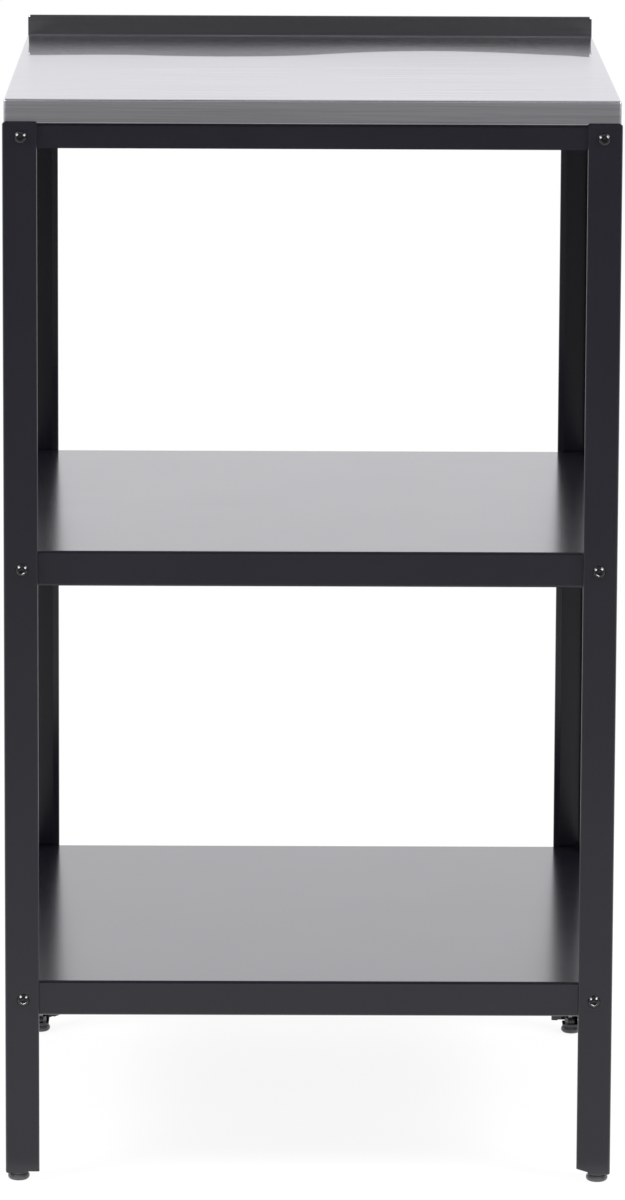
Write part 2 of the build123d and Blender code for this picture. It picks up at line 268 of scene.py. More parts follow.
@dataclass(frozen=True, kw_only=True)
class GrainedFinish(Finish):
    """A finish of two near tones in clouds, with a fine grain in its surface.

    The grain varies the gloss too, or the clouds do where the gloss is cloudy.
    """

    cloud_mm: float
    grain_mm: float
    cloud_detail: float = 3.0
    grain_detail: float = 2.0
    grain_falloff: float = 0.5
    cloudy_gloss: bool = False

    def patterns(self, tree: Tree, place: Socket) -> Patterns:
        """Mix the two tones in clouds, grain the surface and vary the gloss.

        Args:
            tree: The material's node tree.
            place: The place on the piece.

        Returns:
            The share of the light tone, the roughness and the relief.
        """
        clouds = {"Vector": place, "Scale": per_mm(self.cloud_mm), "Detail": self.cloud_detail}
        cloud = add_node(tree, "ShaderNodeTexNoise", clouds).outputs["Fac"]
        grains = {"Vector": place, "Scale": per_mm(self.grain_mm), "Detail": self.grain_detail}
        grains["Roughness"] = self.grain_falloff
        grain = add_node(tree, "ShaderNodeTexNoise", grains).outputs["Fac"]
        low, high = self.roughness
        hazes = {"Value": cloud if self.cloudy_gloss else grain, "To Min": low, "To Max": high}
        gloss = add_node(tree, "ShaderNodeMapRange", hazes).outputs["Result"]
        return cloud, gloss, grain


STAINLESS = BrushedStainless()
# Satin powder coat, sprayed on sheet steel and baked: an even near-black with a faint orange peel, and a
# soft mirror at low angles. The clear film does most of the mirroring, so the paint has a low index.
# Real orange peel is about 1 mm across: it is drawn coarser so that it shows in the render
POWDER_COAT = GrainedFinish(
    name="satin_black_powder_coat", slot="black_powder_coat", dark="#0c0b12", light="#111017",
    roughness=(0.20, 0.26), ior=1.25, film_weight=1.0, film_roughness=0.19, cloudy_gloss=True,
    cloud_mm=70.0, cloud_detail=4.0, grain_mm=2.4, grain_falloff=0.4,
    relief_depth_mm=0.02, relief_strength=0.12,
)
# Black lacquer on steel: a deep black that shows each lamp as a hard white spot
BOLT_LACQUER = GrainedFinish(
    name="gloss_black_lacquer", slot="black_fasteners", dark="#0b0b0d", light="#121214", ior=1.6,
    roughness=(0.10, 0.16), cloud_mm=6.0, grain_mm=0.7, relief_depth_mm=0.005, relief_strength=0.1,
)
# Zinc plate, passivated: a bright metal with a faint bluish and straw mottle
ZINC = GrainedFinish(
    name="passivated_zinc_plate", slot="zinc_plate", dark="#b4bac4", light="#cfccc2", metallic=1.0,
    roughness=(0.24, 0.38), cloud_mm=5.0, grain_mm=0.5, relief_depth_mm=0.005, relief_strength=0.15,
)
# Injection moulded polyamide: a dark grey with a fine spark-eroded grain, drawn coarser than its 0.1 mm
POLYAMIDE = GrainedFinish(
    name="moulded_polyamide", slot="glide_plastic", dark="#333336", light="#3f3f42", ior=1.53,
    roughness=(0.28, 0.40), cloud_mm=4.0, grain_mm=0.5, relief_depth_mm=0.01, relief_strength=0.2,
)


def open_edges(bm: Mesh, test: Callable[[Vector], bool]) -> Edges:
    """Find the free edges of a sheet whose two ends lie at places that pass a test."""
    return [e for e in bm.edges if e.is_boundary and all(test(v.co) for v in e.verts)]


def verts_of(geometry: Iterable[Any]) -> Verts:
    """Return the vertices among an operator's results."""
    return [g for g in geometry if isinstance(g, bmesh.types.BMVert)]


def edges_of(geometry: Iterable[Any]) -> Edges:
    """Return the edges among an operator's results."""
    return [g for g in geometry if isinstance(g, bmesh.types.BMEdge)]


def ends_of(edges: Edges) -> Verts:
    """Return the vertices at the ends of edges, each once and in order."""
    return list(dict.fromkeys(v for e in edges for v in e.verts))


def fold(bm: Mesh, edges: Edges, centre: Place, axis: Place, degrees: float, steps: int) -> Edges:
    """Bend the sheet on from a free edge, round the nose of a press brake.

    Args:
        bm: The sheet.
        edges: The free edge that the bend starts from.
        centre: A point on the bend's axis.
        axis: The direction of the bend's axis.
        degrees: How far the bend turns, right-handed.
        steps: The number of facets in the bend.

    Returns:
        The free edge after the bend.
    """
    bent = bmesh.ops.spin(
        bm, geom=edges + ends_of(edges), cent=centre, axis=axis, dvec=(0, 0, 0),
        angle=math.radians(degrees), steps=steps,
    )
    return edges_of(bent["geom_last"])


def carry_on(bm: Mesh, edges: Edges, move: Place) -> Edges:
    """Carry the sheet on flat from a free edge.

    Args:
        bm: The sheet.
        edges: The free edge to carry on from.
        move: How far, and where to.

    Returns:
        The new free edge.
    """
    drawn = bmesh.ops.extrude_edge_only(bm, edges=edges)["geom"]
    bmesh.ops.translate(bm, verts=verts_of(drawn), vec=move)
    return edges_of(drawn)


def draw_out(bm: Mesh, move: Place) -> None:
    """Draw a flat outline out into a closed solid.

    Args:
        bm: The mesh, which holds the outline alone.
        move: How far, and where to.
    """
    drawn = bmesh.ops.extrude_face_region(bm, geom=bm.faces[:])["geom"]
    bmesh.ops.translate(bm, verts=verts_of(drawn), vec=move)
    bmesh.ops.recalc_face_normals(bm, faces=bm.faces[:])


def soften(bm: Mesh, geometry: Verts | Edges, size: float, steps: int, affect: str = "EDGES") -> None:
    """Round off edges or corners.

    Args:
        bm: The mesh.
        geometry: The edges or corners.
        size: How far the round reaches to each side.
        steps: The number of facets in the round.
        affect: Whether edges or vertices are rounded.
    """
    bmesh.ops.bevel(
        bm, geom=geometry, offset=size, offset_type="OFFSET", segments=steps, profile=0.5,
        affect=affect, material=-1, clamp_overlap=True,
    )


def draw_hexagon(bm: Mesh, flats: float, segments: int, place: Matrix) -> None:
    """Draw a hexagon of wire, with as many edges as the ring that it is bridged to.

    Args:
        bm: The mesh, which holds no other wire.
        flats: The size across the flats.
        segments: The number of edges, a multiple of six.
        place: Where the hexagon goes.
    """
    bmesh.ops.create_circle(bm, segments=6, radius=flats / math.sqrt(3), matrix=place)
    sides = [e for e in bm.edges if e.is_wire]
    bmesh.ops.subdivide_edges(bm, edges=sides, cuts=segments // 6 - 1)


def close_up(bm: Mesh) -> None:
    """Merge the doubles that spins and joins leave, and turn the faces outwards."""
    bmesh.ops.remove_doubles(bm, verts=bm.verts[:], dist=MERGE_MM)
    bmesh.ops.recalc_face_normals(bm, faces=bm.faces[:])


def add_copies(bm: Mesh, part: Mesh, places: Iterable[Matrix] = (Matrix(),)) -> Mesh:
    """Close a part up, add copies of it to a mesh, and free it.

    Args:
        bm: The mesh that grows.
        part: The part.
        places: Where its copies go.

    Returns:
        The mesh that has grown.
    """
    close_up(part)
    mesh = bpy.data.meshes.new("copy")
    for place in places:
        copy = part.copy()
        copy.transform(place)
        copy.to_mesh(mesh)
        copy.free()
        bm.from_mesh(mesh)
    bpy.data.meshes.remove(mesh)
    part.free()
    return bm


def finish_piece(name: str, node: str, bm: Mesh, finish: Finish, body: str = FRAME_BODY) -> Piece:
    """Turn a mesh in millimetres into a dressed piece in metres that stands for a node.

    Args:
        name: The piece's name.
        node: The node that it stands for.
        bm: The finished mesh, which is freed.
        finish: What the piece wears.
        body: The body that it rides on.

    Returns:
        The new piece, which sits at the origin.
    """
    bmesh.ops.scale(bm, vec=(MM, MM, MM), verts=bm.verts[:])
    for face in bm.faces:
        face.smooth = True
    for edge in bm.edges:
        edge.smooth = len(edge.link_faces) == 2 and edge.calc_face_angle(0.0) < SMOOTH_BELOW
    mesh = bpy.data.meshes.new(name)
    bm.to_mesh(mesh)
    bm.free()
    mesh.materials.append(finish.material())
    piece = bpy.data.objects.new(name, mesh)
    bpy.context.scene.collection.objects.link(piece)
    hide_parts(node)
    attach(piece, body)
    return piece


def node_box(node: str) -> tuple[Vector, Vector]:
    """Return the lowest and highest corner of a node, in millimetres."""
    low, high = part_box(node)
    return low / MM, high / MM


class Section:
    """A half section in the xz plane, drawn from place to place and then spun round the z axis."""

    def __init__(self, bm: Mesh, x: float, z: float) -> None:
        """Start the section.

        Args:
            bm: The mesh that the section is drawn in.
            x: The radius of the first place.
            z: The height of the first place.
        """
        self.bm = bm
        self.tip = bmesh.ops.create_vert(bm, co=(x, 0, z))["vert"][0]
        self.verts = [self.tip]
        self.edges: Edges = []

    def grow(self) -> None:
        """Start a new line at the tip, with no length yet."""
        drawn = bmesh.ops.extrude_vert_indiv(self.bm, verts=[self.tip])
        self.tip = drawn["verts"][0]
        self.verts.append(self.tip)
        self.edges += drawn["edges"]

    def to(self, x: float, z: float) -> "Section":
        """Draw a straight line to a place.

        Args:
            x: The radius of the place.
            z: The height of the place.

        Returns:
            The section itself.
        """
        self.grow()
        bmesh.ops.translate(self.bm, verts=[self.tip], vec=Vector((x, 0, z)) - self.tip.co)
        return self

    def round(self, x: float, z: float, degrees: float, steps: int) -> "Section":
        """Draw an arc about a centre.

        Args:
            x: The radius of the centre.
            z: The height of the centre.
            degrees: How far the arc turns, from x towards minus z.
            steps: The number of straight pieces in the arc.

        Returns:
            The section itself.
        """
        turn = Matrix.Rotation(math.radians(degrees / steps), 3, "Y")
        for _ in range(steps):
            self.grow()
            bmesh.ops.rotate(self.bm, verts=[self.tip], cent=(x, 0, z), matrix=turn)
        return self

    def shut(self) -> "Section":
        """Join the last place to the first, and return the section itself."""
        self.edges += bmesh.ops.contextual_create(self.bm, geom=[self.tip, self.verts[0]])["edges"]
        return self

    def spin(self, segments: int) -> None:
        """Spin the section through a full turn, of a number of facets."""
        bmesh.ops.spin(
            self.bm, geom=self.verts + self.edges, cent=(0, 0, 0), axis=(0, 0, 1), dvec=(0, 0, 0),
            angle=2 * math.pi, steps=segments, use_merge=True,
        )
        bmesh.ops.remove_doubles(self.bm, verts=self.bm.verts[:], dist=MERGE_MM)

    def wind(self, pitch: float, turns: float, segments: int) -> None:
        """Wind a closed section into a screw thread, and close its two ends.

        Args:
            pitch: How far the thread climbs in a turn.
            turns: The number of turns.
            segments: The number of facets in a turn.
        """
        bmesh.ops.spin(
            self.bm, geom=self.verts + self.edges, cent=(0, 0, 0), axis=(0, 0, 1),
            dvec=(0, 0, pitch / segments), angle=2 * math.pi * turns, steps=round(turns * segments),
        )
        ends = [e for e in self.bm.edges if e.is_boundary]
        bmesh.ops.holes_fill(self.bm, edges=ends, sides=len(self.edges))


@dataclass(frozen=True)
class Ripple:
    """A gentle swell that rolling and folding leave in a thin sheet, in millimetres."""

    x: float
    y: float
    reach_x: float
    reach_y: float
    height: float

    def rise(self, place: Vector) -> float:
        """Return the height of the swell at a place."""
        across, along = (place.x - self.x) / self.reach_x, (place.y - self.y) / self.reach_y
        return self.height * math.exp(-across ** 2 - along ** 2)


@dataclass
class Worktop:
    """The stainless pan: one sheet folded down into skirts and returns, with a hemmed rear upstand."""

    node: str = "worktop"
    sheet: float = 0.95
    bend: float = 2.0
    bend_steps: int = 6
    returned: float = 15.0
    cove: float = 1.5
    hem: float = 2.0
    hem_round: float = 0.95
    hem_steps: int = 5
    upstand_corner: float = 3.0
    upstand_inset: float = 0.8
    upstand_height: float = 18.0
    cells: int = 96
    flat_margin: float = 26.0
    ripples: tuple[Ripple, ...] = (
        Ripple(107, 161, 120, 60, 1.0),
        Ripple(-66, 60, 70, 40, 0.22),
        Ripple(-166, 150, 50, 60, 0.18),
        Ripple(190, -60, 60, 90, 0.25),
        Ripple(-120, -120, 90, 80, 0.3),
    )

    def __post_init__(self) -> None:
        """Work out the lines that the folds share."""
        self.low, self.high = node_box(self.node)
        self.top = self.high.z - self.upstand_height
        self.foot = self.low.z
        self.half_width = self.high.x - self.bend
        self.half_depth = self.high.y - self.bend
        self.upstand_face = self.high.y - self.hem

    def ripple(self, place: Vector) -> float:
        """Work out how far the sheet stands above its true plane, which is nothing at the folds.

        Args:
            place: A place on the flat top.

        Returns:
            The height of the sheet there.
        """
        rear_room = self.upstand_face - self.cove - place.y
        room = min(self.half_width - abs(place.x), self.half_depth + place.y, rear_room)
        fade = min(max(room / self.flat_margin, 0.0), 1.0)
        return fade * fade * (3 - 2 * fade) * sum(r.rise(place) for r in self.ripples)

    def plate(self, bm: Mesh) -> None:
        """Lay out the flat top and let it ripple.

        Args:
            bm: The sheet.
        """
        bmesh.ops.create_grid(bm, x_segments=self.cells, y_segments=self.cells, size=0.5)
        bmesh.ops.scale(bm, vec=(2 * self.half_width, 2 * self.half_depth, 1), verts=bm.verts[:])
        bmesh.ops.translate(bm, vec=(0, 0, self.top), verts=bm.verts[:])
        for vert in bm.verts:
            vert.co.z += self.ripple(vert.co)

    def skirt(self, bm: Mesh, edge: Edges, foot: Vector, axis: Vector) -> None:
        """Fold a skirt down from an edge of the plate, and turn its foot in.

        Args:
            bm: The sheet.
            edge: The plate's free edge.
            foot: A point straight below the edge, at floor level.
            axis: The direction of the folds, right-handed for a fold down.
        """
        upper = (foot.x, foot.y, self.top - self.bend)
        lower = (foot.x, foot.y, self.foot + self.bend)
        edge = fold(bm, edge, upper, axis, 90, self.bend_steps)
        edge = carry_on(bm, edge, (0, 0, lower[2] - upper[2]))
        fold(bm, edge, lower, axis, 90, self.bend_steps)

    def corners(self, bm: Mesh) -> None:
        """Close the four upright corners by turning the side skirts' end profiles through a quarter.

        Args:
            bm: The sheet.
        """
        for x, y in (c.value for c in Corner):
            place = Vector((x * self.half_width, y * self.half_depth, 0))

            def at_end(spot: Vector) -> bool:
                """Say whether a place lies on the end profile of this corner's side skirt."""
                return x * (spot.x - place.x) > -MERGE_MM and abs(spot.y - place.y) < MERGE_MM

            fold(bm, open_edges(bm, at_end), place, (0, 0, 1), x * y * 90, self.bend_steps)
        bmesh.ops.remove_doubles(bm, verts=bm.verts[:], dist=MERGE_MM)

    def returns(self, bm: Mesh) -> None:
        """Turn the skirts' feet in as one mitred flange.

        Args:
            bm: The sheet.
        """
        rim = open_edges(bm, lambda p: p.z < self.foot + MERGE_MM)
        inner = carry_on(bm, rim, (0, 0, 0))
        turned = self.returned - self.bend
        shrink = (1 - turned / self.half_width, 1 - turned / self.half_depth, 1)
        bmesh.ops.scale(bm, vec=shrink, verts=ends_of(inner))

    def upstand(self, bm: Mesh) -> None:
        """Stand the doubled sheet along the rear edge, with round top corners and a round hem.

        Args:
            bm: The mesh that the upstand joins.
        """
        plate = bmesh.new()
        foot = self.top - self.bend
        upright = Matrix.Translation((0, self.upstand_face, foot)) @ Matrix.Rotation(math.pi / 2, 4, "X")
        bmesh.ops.create_grid(plate, x_segments=1, y_segments=1, size=0.5)
        bmesh.ops.translate(plate, vec=(0, 0.5, 0), verts=plate.verts[:])
        size = (2 * (self.high.x - self.upstand_inset), self.high.z - foot, 1)
        bmesh.ops.scale(plate, vec=size, verts=plate.verts[:])
        bmesh.ops.transform(plate, matrix=upright, verts=plate.verts[:])
        tips = [v for v in plate.verts if v.co.z > self.top]
        soften(plate, tips, self.upstand_corner, self.hem_steps, "VERTICES")
        draw_out(plate, (0, self.hem, 0))
        rims = [e for e in plate.edges if abs(e.verts[0].co.y - e.verts[1].co.y) < MERGE_MM]
        rims = [e for e in rims if max(v.co.z for v in e.verts) > foot + MERGE_MM]
        soften(plate, rims, self.hem_round, self.hem_steps)
        add_copies(bm, plate)

    def fillet(self, bm: Mesh) -> None:
        """Run a hollow round along the inner corner between the plate and the upstand.

        Args:
            bm: The mesh that the round joins.
        """
        strip = bmesh.new()
        start, crest = self.upstand_face - self.cove, self.top + self.cove
        back, sunk = self.upstand_face + self.sheet / 2, self.top - self.sheet / 2
        section = Section(strip, start, self.top).round(start, crest, -90, self.bend_steps)
        section.to(back, crest).to(back, sunk).to(start, sunk).shut()
        bmesh.ops.contextual_create(strip, geom=section.edges)
        draw_out(strip, (0, 2 * self.half_width, 0))
        turn = Matrix.Rotation(math.pi / 2, 4, "Z")
        add_copies(bm, strip, [Matrix.Translation((self.half_width, 0, 0)) @ turn])

    def build(self) -> Piece:
        """Fold the pan up from its plate, give it the sheet's thickness and stand the upstand on it.

        Returns:
            The worktop, which stands for the node of the same name.
        """
        bm = bmesh.new()
        self.plate(bm)
        sides = []
        for x, y in ((1, 0), (-1, 0), (0, 1), (0, -1)):
            reach = self.half_width if x else self.half_depth
            outwards = Vector((x, y, 0))
            edge = open_edges(bm, lambda p: outwards.dot(p) > reach - MERGE_MM)
            sides.append((edge, outwards * reach, Vector((-y, x, 0))))
        for edge, foot, axis in sides:
            self.skirt(bm, edge, foot, axis)
        self.corners(bm)
        self.returns(bm)
        close_up(bm)
        bmesh.ops.solidify(bm, geom=bm.faces[:], thickness=self.sheet)
        self.upstand(bm)
        self.fillet(bm)
        return finish_piece("worktop_pan", self.node, bm, STAINLESS)


@dataclass(frozen=True)
class Thread:
    """A screw thread: a ridge of trapezoid section, sunk a little into its core, in millimetres."""

    outer: float
    pitch: float = 1.0
    depth: float = 0.55
    sunk: float = 0.1
    # Shares of the pitch that each flank and the crest take up
    flank: float = 0.40
    crest: float = 0.12
    segments: int = 24

    @property
    def core(self) -> float:
        """Return the radius of the core that the ridge stands on."""
        return self.outer - self.depth

    def build(self, bm: Mesh, start: float, end: float) -> None:
        """Wind the ridge from one height to another.

        Args:
            bm: The mesh that the ridge joins.
            start: The height at which the ridge starts.
            end: The height at which it ends.
        """
        ridge = bmesh.new()
        root = self.core - self.sunk
        rise, flat = self.flank * self.pitch, self.crest * self.pitch
        section = Section(ridge, root, start).to(self.outer, start + rise)
        section.to(self.outer, start + rise + flat).to(root, start + 2 * rise + flat).shut()
        section.wind(self.pitch, (end - start) / self.pitch - 1, self.segments)
        add_copies(bm, ridge)


@dataclass(frozen=True)
class HexSocket:
    """A hexagon socket with a chamfered mouth and a coned floor, in millimetres."""

    flats: float
    depth: float
    cone: float
    edge: float

    def sink(self, bm: Mesh, height: float, segments: int) -> None:
        """Close a head's open crown with a ring, and sink the socket into it.

        Args:
            bm: The mesh of one screw, open at its crown.
            height: The height of the crown.
            segments: The number of facets round the crown.
        """
        crown = [e for e in bm.edges if e.is_boundary]
        wide = self.flats + 2 * self.edge
        draw_hexagon(bm, wide, segments, Matrix.Translation((0, 0, height)))
        mouth = [e for e in bm.edges if e.is_wire]
        bmesh.ops.bridge_loops(bm, edges=crown + mouth)
        mouth = carry_on(bm, mouth, (0, 0, -self.edge))
        narrow = self.flats / wide
        bmesh.ops.scale(bm, vec=(narrow, narrow, 1), verts=ends_of(mouth))
        walls = carry_on(bm, mouth, (0, 0, self.edge - self.depth))
        floor = carry_on(bm, walls, (0, 0, 0))
        bmesh.ops.pointmerge(bm, verts=ends_of(floor), merge_co=(0, 0, height - self.depth - self.cone))


@dataclass
class LegBolts:
    """The button-head socket bolts at one level, each drawn with its head along z and set into its leg."""

    level: Level
    head_radius: float = 5.25
    head_height: float = 3.3
    rim: float = 0.6
    rim_round: float = 0.25
    crown: float = 3.1
    dome: float = 5.25
    dome_steps: int = 8
    neck: float = 1.2
    neck_taper: float = 0.4
    length: float = 16.0
    tip: float = 0.7
    segments: int = 48
    socket: HexSocket = HexSocket(flats=4.0, depth=2.2, cone=0.7, edge=0.4)
    thread: Thread = Thread(outer=2.98)

    def body(self, bm: Mesh) -> None:
        """Spin the head, the neck and the core, open at the crown.

        Args:
            bm: The mesh of one bolt.
        """
        shoulder = Vector((self.crown, self.head_height))
        edge = Vector((self.head_radius, self.rim))
        chord = edge - shoulder
        inwards = Vector((chord.y, -chord.x)).normalized()
        centre = (shoulder + edge) / 2 + inwards * math.sqrt(self.dome ** 2 - chord.length_squared / 4)
        sweep = 2 * math.degrees(math.asin(chord.length / 2 / self.dome))
        outer, core = self.thread.outer, self.thread.core
        section = Section(bm, *shoulder).round(*centre, sweep, self.dome_steps)
        section.to(self.head_radius, self.rim_round).to(self.head_radius - self.rim_round, 0)
        section.to(outer, 0).to(outer, -self.neck).to(core, -self.neck - self.neck_taper)
        section.to(core, self.tip - self.length).to(core - self.tip, -self.length)
        section.to(0, -self.length).spin(self.segments)

    def build(self) -> Piece:
        """Make one bolt and set it four times.

        Returns:
            The bolts, which stand for their level's node.
        """
        bolt = bmesh.new()
        self.body(bolt)
        self.socket.sink(bolt, self.head_height, self.segments)
        self.thread.build(bolt, self.tip - self.length, -self.neck)
        node = f"leg_bolts_{self.level.value}"
        low, high = node_box(node)
        places = []
        for x, y in (c.value for c in Corner):
            face = y * (high.y - self.head_height)
            spot = (x * (high.x - self.head_radius), face, (low.z + high.z) / 2)
            places.append(Matrix.Translation(spot) @ Matrix.Rotation(-y * math.pi / 2, 4, "X"))
        return finish_piece(f"{node}_threaded", node, add_copies(bmesh.new(), bolt, places), BOLT_LACQUER)


@dataclass
class WorktopScrews:
    """The pan-head screws that hold the worktop's returns to the rails, with their heads down."""

    node: str = "worktop_screws"
    head_radius: float = 4.0
    head_height: float = 2.4
    head_round: float = 1.2
    head_edge: float = 0.2
    round_steps: int = 6
    crown: float = 2.4
    spacing: float = 150.0
    length: float = 8.0
    tip: float = 1.4
    tip_share: float = 1 / 3
    bare_neck: float = 0.3
    segments: int = 36
    socket: HexSocket = HexSocket(flats=3.0, depth=1.2, cone=0.3, edge=0.25)
    thread: Thread = Thread(outer=2.05, pitch=1.4, depth=0.5)

    def screw(self) -> Mesh:
        """Make one screw, with its head along z.

        Returns:
            The mesh of the screw.
        """
        bm = bmesh.new()
        shoulder = self.head_radius - self.head_round
        core = self.thread.core
        section = Section(bm, self.crown, self.head_height).to(shoulder, self.head_height)
        section.round(shoulder, self.head_height - self.head_round, 90, self.round_steps)
        section.to(self.head_radius, self.head_edge).to(self.head_radius - self.head_edge, 0).to(core, 0)
        section.to(core, self.tip - self.length).to(core * self.tip_share, -self.length)
        section.to(0, -self.length).spin(self.segments)
        self.socket.sink(bm, self.head_height, self.segments)
        self.thread.build(bm, self.tip - self.length, -self.bare_neck)
        return bm

    def build(self) -> Piece:
        """Make one screw and set it eight times.

        Returns:
            The screws, which stand for the node of the same name.
        """
        low, high = node_box(self.node)
        far = high.x - self.head_radius
        places = []
        for x, y in (c.value for c in Corner):
            for across, along in ((self.spacing, far), (far, self.spacing)):
                spot = Matrix.Translation((x * across, y * along, low.z + self.head_height))
                places.append(spot @ Matrix.Rotation(math.pi, 4, "X"))
        screws = add_copies(bmesh.new(), self.screw(), places)
        return finish_piece(f"{self.node}_threaded", self.node, screws, ZINC)


@dataclass
class WeldNuts:
    """The hexagon nuts welded on the foot tabs, chamfered and open for the stems."""

    node: str = "foot_weld_nuts"
    flats: float = 10.0
    bore: float = 3.0
    edge: float = 0.4
    edge_steps: int = 2
    sharp: float = 30.0
    segments: int = 36

    def nut(self, height: float) -> Mesh:
        """Make one nut that stands on the plane of zero height.

        Args:
            height: The height of the nut.

        Returns:
            The mesh of the nut.
        """
        bm = bmesh.new()
        draw_hexagon(bm, self.flats, self.segments, Matrix.Rotation(math.pi / 6, 4, "Z"))
        bmesh.ops.create_circle(bm, segments=self.segments, radius=self.bore)
        bmesh.ops.bridge_loops(bm, edges=bm.edges[:])
        draw_out(bm, (0, 0, height))
        edges = [e for e in bm.edges if e.calc_face_angle(0.0) > math.radians(self.sharp)]
        edges = [e for e in edges if max(v.co.z for v in e.verts) > MERGE_MM]
        soften(bm, edges, self.edge, self.edge_steps)
        return bm

    def build(self) -> Piece:
        """Make one nut and set it four times.

        Returns:
            The nuts, which stand for the node of the same name.
        """
        low, high = node_box(self.node)
        far = high.y - self.flats / 2
        places = [Matrix.Translation((x * far, y * far, low.z)) for x, y in (c.value for c in Corner)]
        nuts = add_copies(bmesh.new(), self.nut(high.z - low.z), places)
        return finish_piece(f"{self.node}_chamfered", self.node, nuts, POWDER_COAT)


@dataclass
class RivetNuts:
    """The rivet nuts at one level: collared sleeves that bulge where they were set behind the sheet."""

    level: Level
    collar: float = 6.5
    collar_edge: float = 0.35
    sleeve: float = 4.5
    sleeve_edge: float = 0.4
    bore: float = 3.05
    collar_height: float = 2.817
    sleeve_length: float = 9.0
    grip: float = 1.8
    bulge: float = 1.15
    bulge_steps: int = 8
    segments: int = 40

    def build(self) -> Piece:
        """Make one rivet nut and set it four times.

        Returns:
            The rivet nuts, which stand for their level's node.
        """
        nut = bmesh.new()
        rim, seat = self.collar - self.collar_edge, self.collar_height
        end, short = seat + self.sleeve_length, seat + self.sleeve_length - self.sleeve_edge
        swell = seat + self.grip + self.bulge
        section = Section(nut, self.bore, 0).to(rim, 0).to(self.collar, self.collar_edge)
        section.to(self.collar, seat - self.collar_edge).to(rim, seat)
        section.to(self.sleeve, seat).to(self.sleeve, swell - self.bulge)
        section.round(self.sleeve, swell, -180, self.bulge_steps)
        section.to(self.sleeve, short).to(self.sleeve - self.sleeve_edge, end)
        section.to(self.bore + self.sleeve_edge, end).to(self.bore, short)
        section.shut().spin(self.segments)
        node = f"rivet_nuts_{self.level.value}"
        low, high = node_box(node)
        places = []
        for x, y in (c.value for c in Corner):
            spot = (x * (high.x - self.collar), y * high.y, (low.z + high.z) / 2)
            places.append(Matrix.Translation(spot) @ Matrix.Rotation(y * math.pi / 2, 4, "X"))
        return finish_piece(f"{node}_set", node, add_copies(bmesh.new(), nut, places), ZINC)


@dataclass
class FootStem:
    """The threaded stem of one levelling foot: a collar held in the glide, and a slot for a screwdriver."""

    corner: Corner
    collar: float = 5.0
    collar_height: float = 2.0
    collar_edge: float = 0.3
    bare_neck: float = 0.3
    tip: float = 0.6
    slot_width: float = 1.2
    slot_depth: float = 1.8
    prong_root: float = 0.3
    segments: int = 36
    thread: Thread = Thread(outer=2.95)

    def prongs(self, bm: Mesh, top: float) -> None:
        """Stand the two halves of the tip, one at each side of the slot.

        Args:
            bm: The mesh of the stem.
            top: The height of the tip.
        """
        prong = bmesh.new()
        core = self.thread.core
        root = top - self.slot_depth - self.prong_root
        section = Section(prong, 0, root).to(core, root).to(core, top - self.tip)
        section.to(core - self.tip, top).to(0, top).spin(self.segments)
        everything = prong.verts[:] + prong.edges[:] + prong.faces[:]
        bmesh.ops.bisect_plane(
            prong, geom=everything, dist=MERGE_MM, plane_co=(0, self.slot_width / 2, 0),
            plane_no=(0, -1, 0), clear_outer=True,
        )
        bmesh.ops.holes_fill(prong, edges=[e for e in prong.edges if e.is_boundary], sides=0)
        add_copies(bm, prong, [Matrix.Rotation(turn, 4, "Z") for turn in (0, math.pi)])

    def build(self) -> Piece:
        """Spin the stem, wind its thread and slot its tip.

        Returns:
            The stem, which stands for its corner's node.
        """
        node = f"foot_stem_{self.corner.label}"
        low, high = node_box(node)
        shoulder, slot_floor = low.z + self.collar_height, high.z - self.slot_depth
        rim, core = self.collar - self.collar_edge, self.thread.core
        stem = bmesh.new()
        section = Section(stem, 0, low.z).to(rim, low.z).to(self.collar, low.z + self.collar_edge)
        section.to(self.collar, shoulder - self.collar_edge).to(rim, shoulder).to(core, shoulder)
        section.to(core, slot_floor).to(0, slot_floor).spin(self.segments)
        self.thread.build(stem, shoulder + self.bare_neck, slot_floor)
        self.prongs(stem, high.z)
        place = Matrix.Translation(((low.x + high.x) / 2, (low.y + high.y) / 2, 0))
        bm = add_copies(bmesh.new(), stem, [place])
        return finish_piece(f"{node}_threaded", node, bm, ZINC, f"stem_{self.corner.label}")


@dataclass
class SteelFrame:
    """The black folded pieces and the hidden fasteners, which keep their solids and get finishes."""

    finishes: tuple[Finish, ...] = (POWDER_COAT, STAINLESS, BOLT_LACQUER, ZINC, POLYAMIDE)

    def dress(self) -> None:
        """Give every node the finish that its slot names."""
        by_slot = {finish.slot: finish for finish in self.finishes}
        for part in frame["record"]["subparts"]:
            obj = frame["nodes"][part["node"]]
            obj.data.materials.clear()
            obj.data.materials.append(by_slot[part["material_slot"]].material())


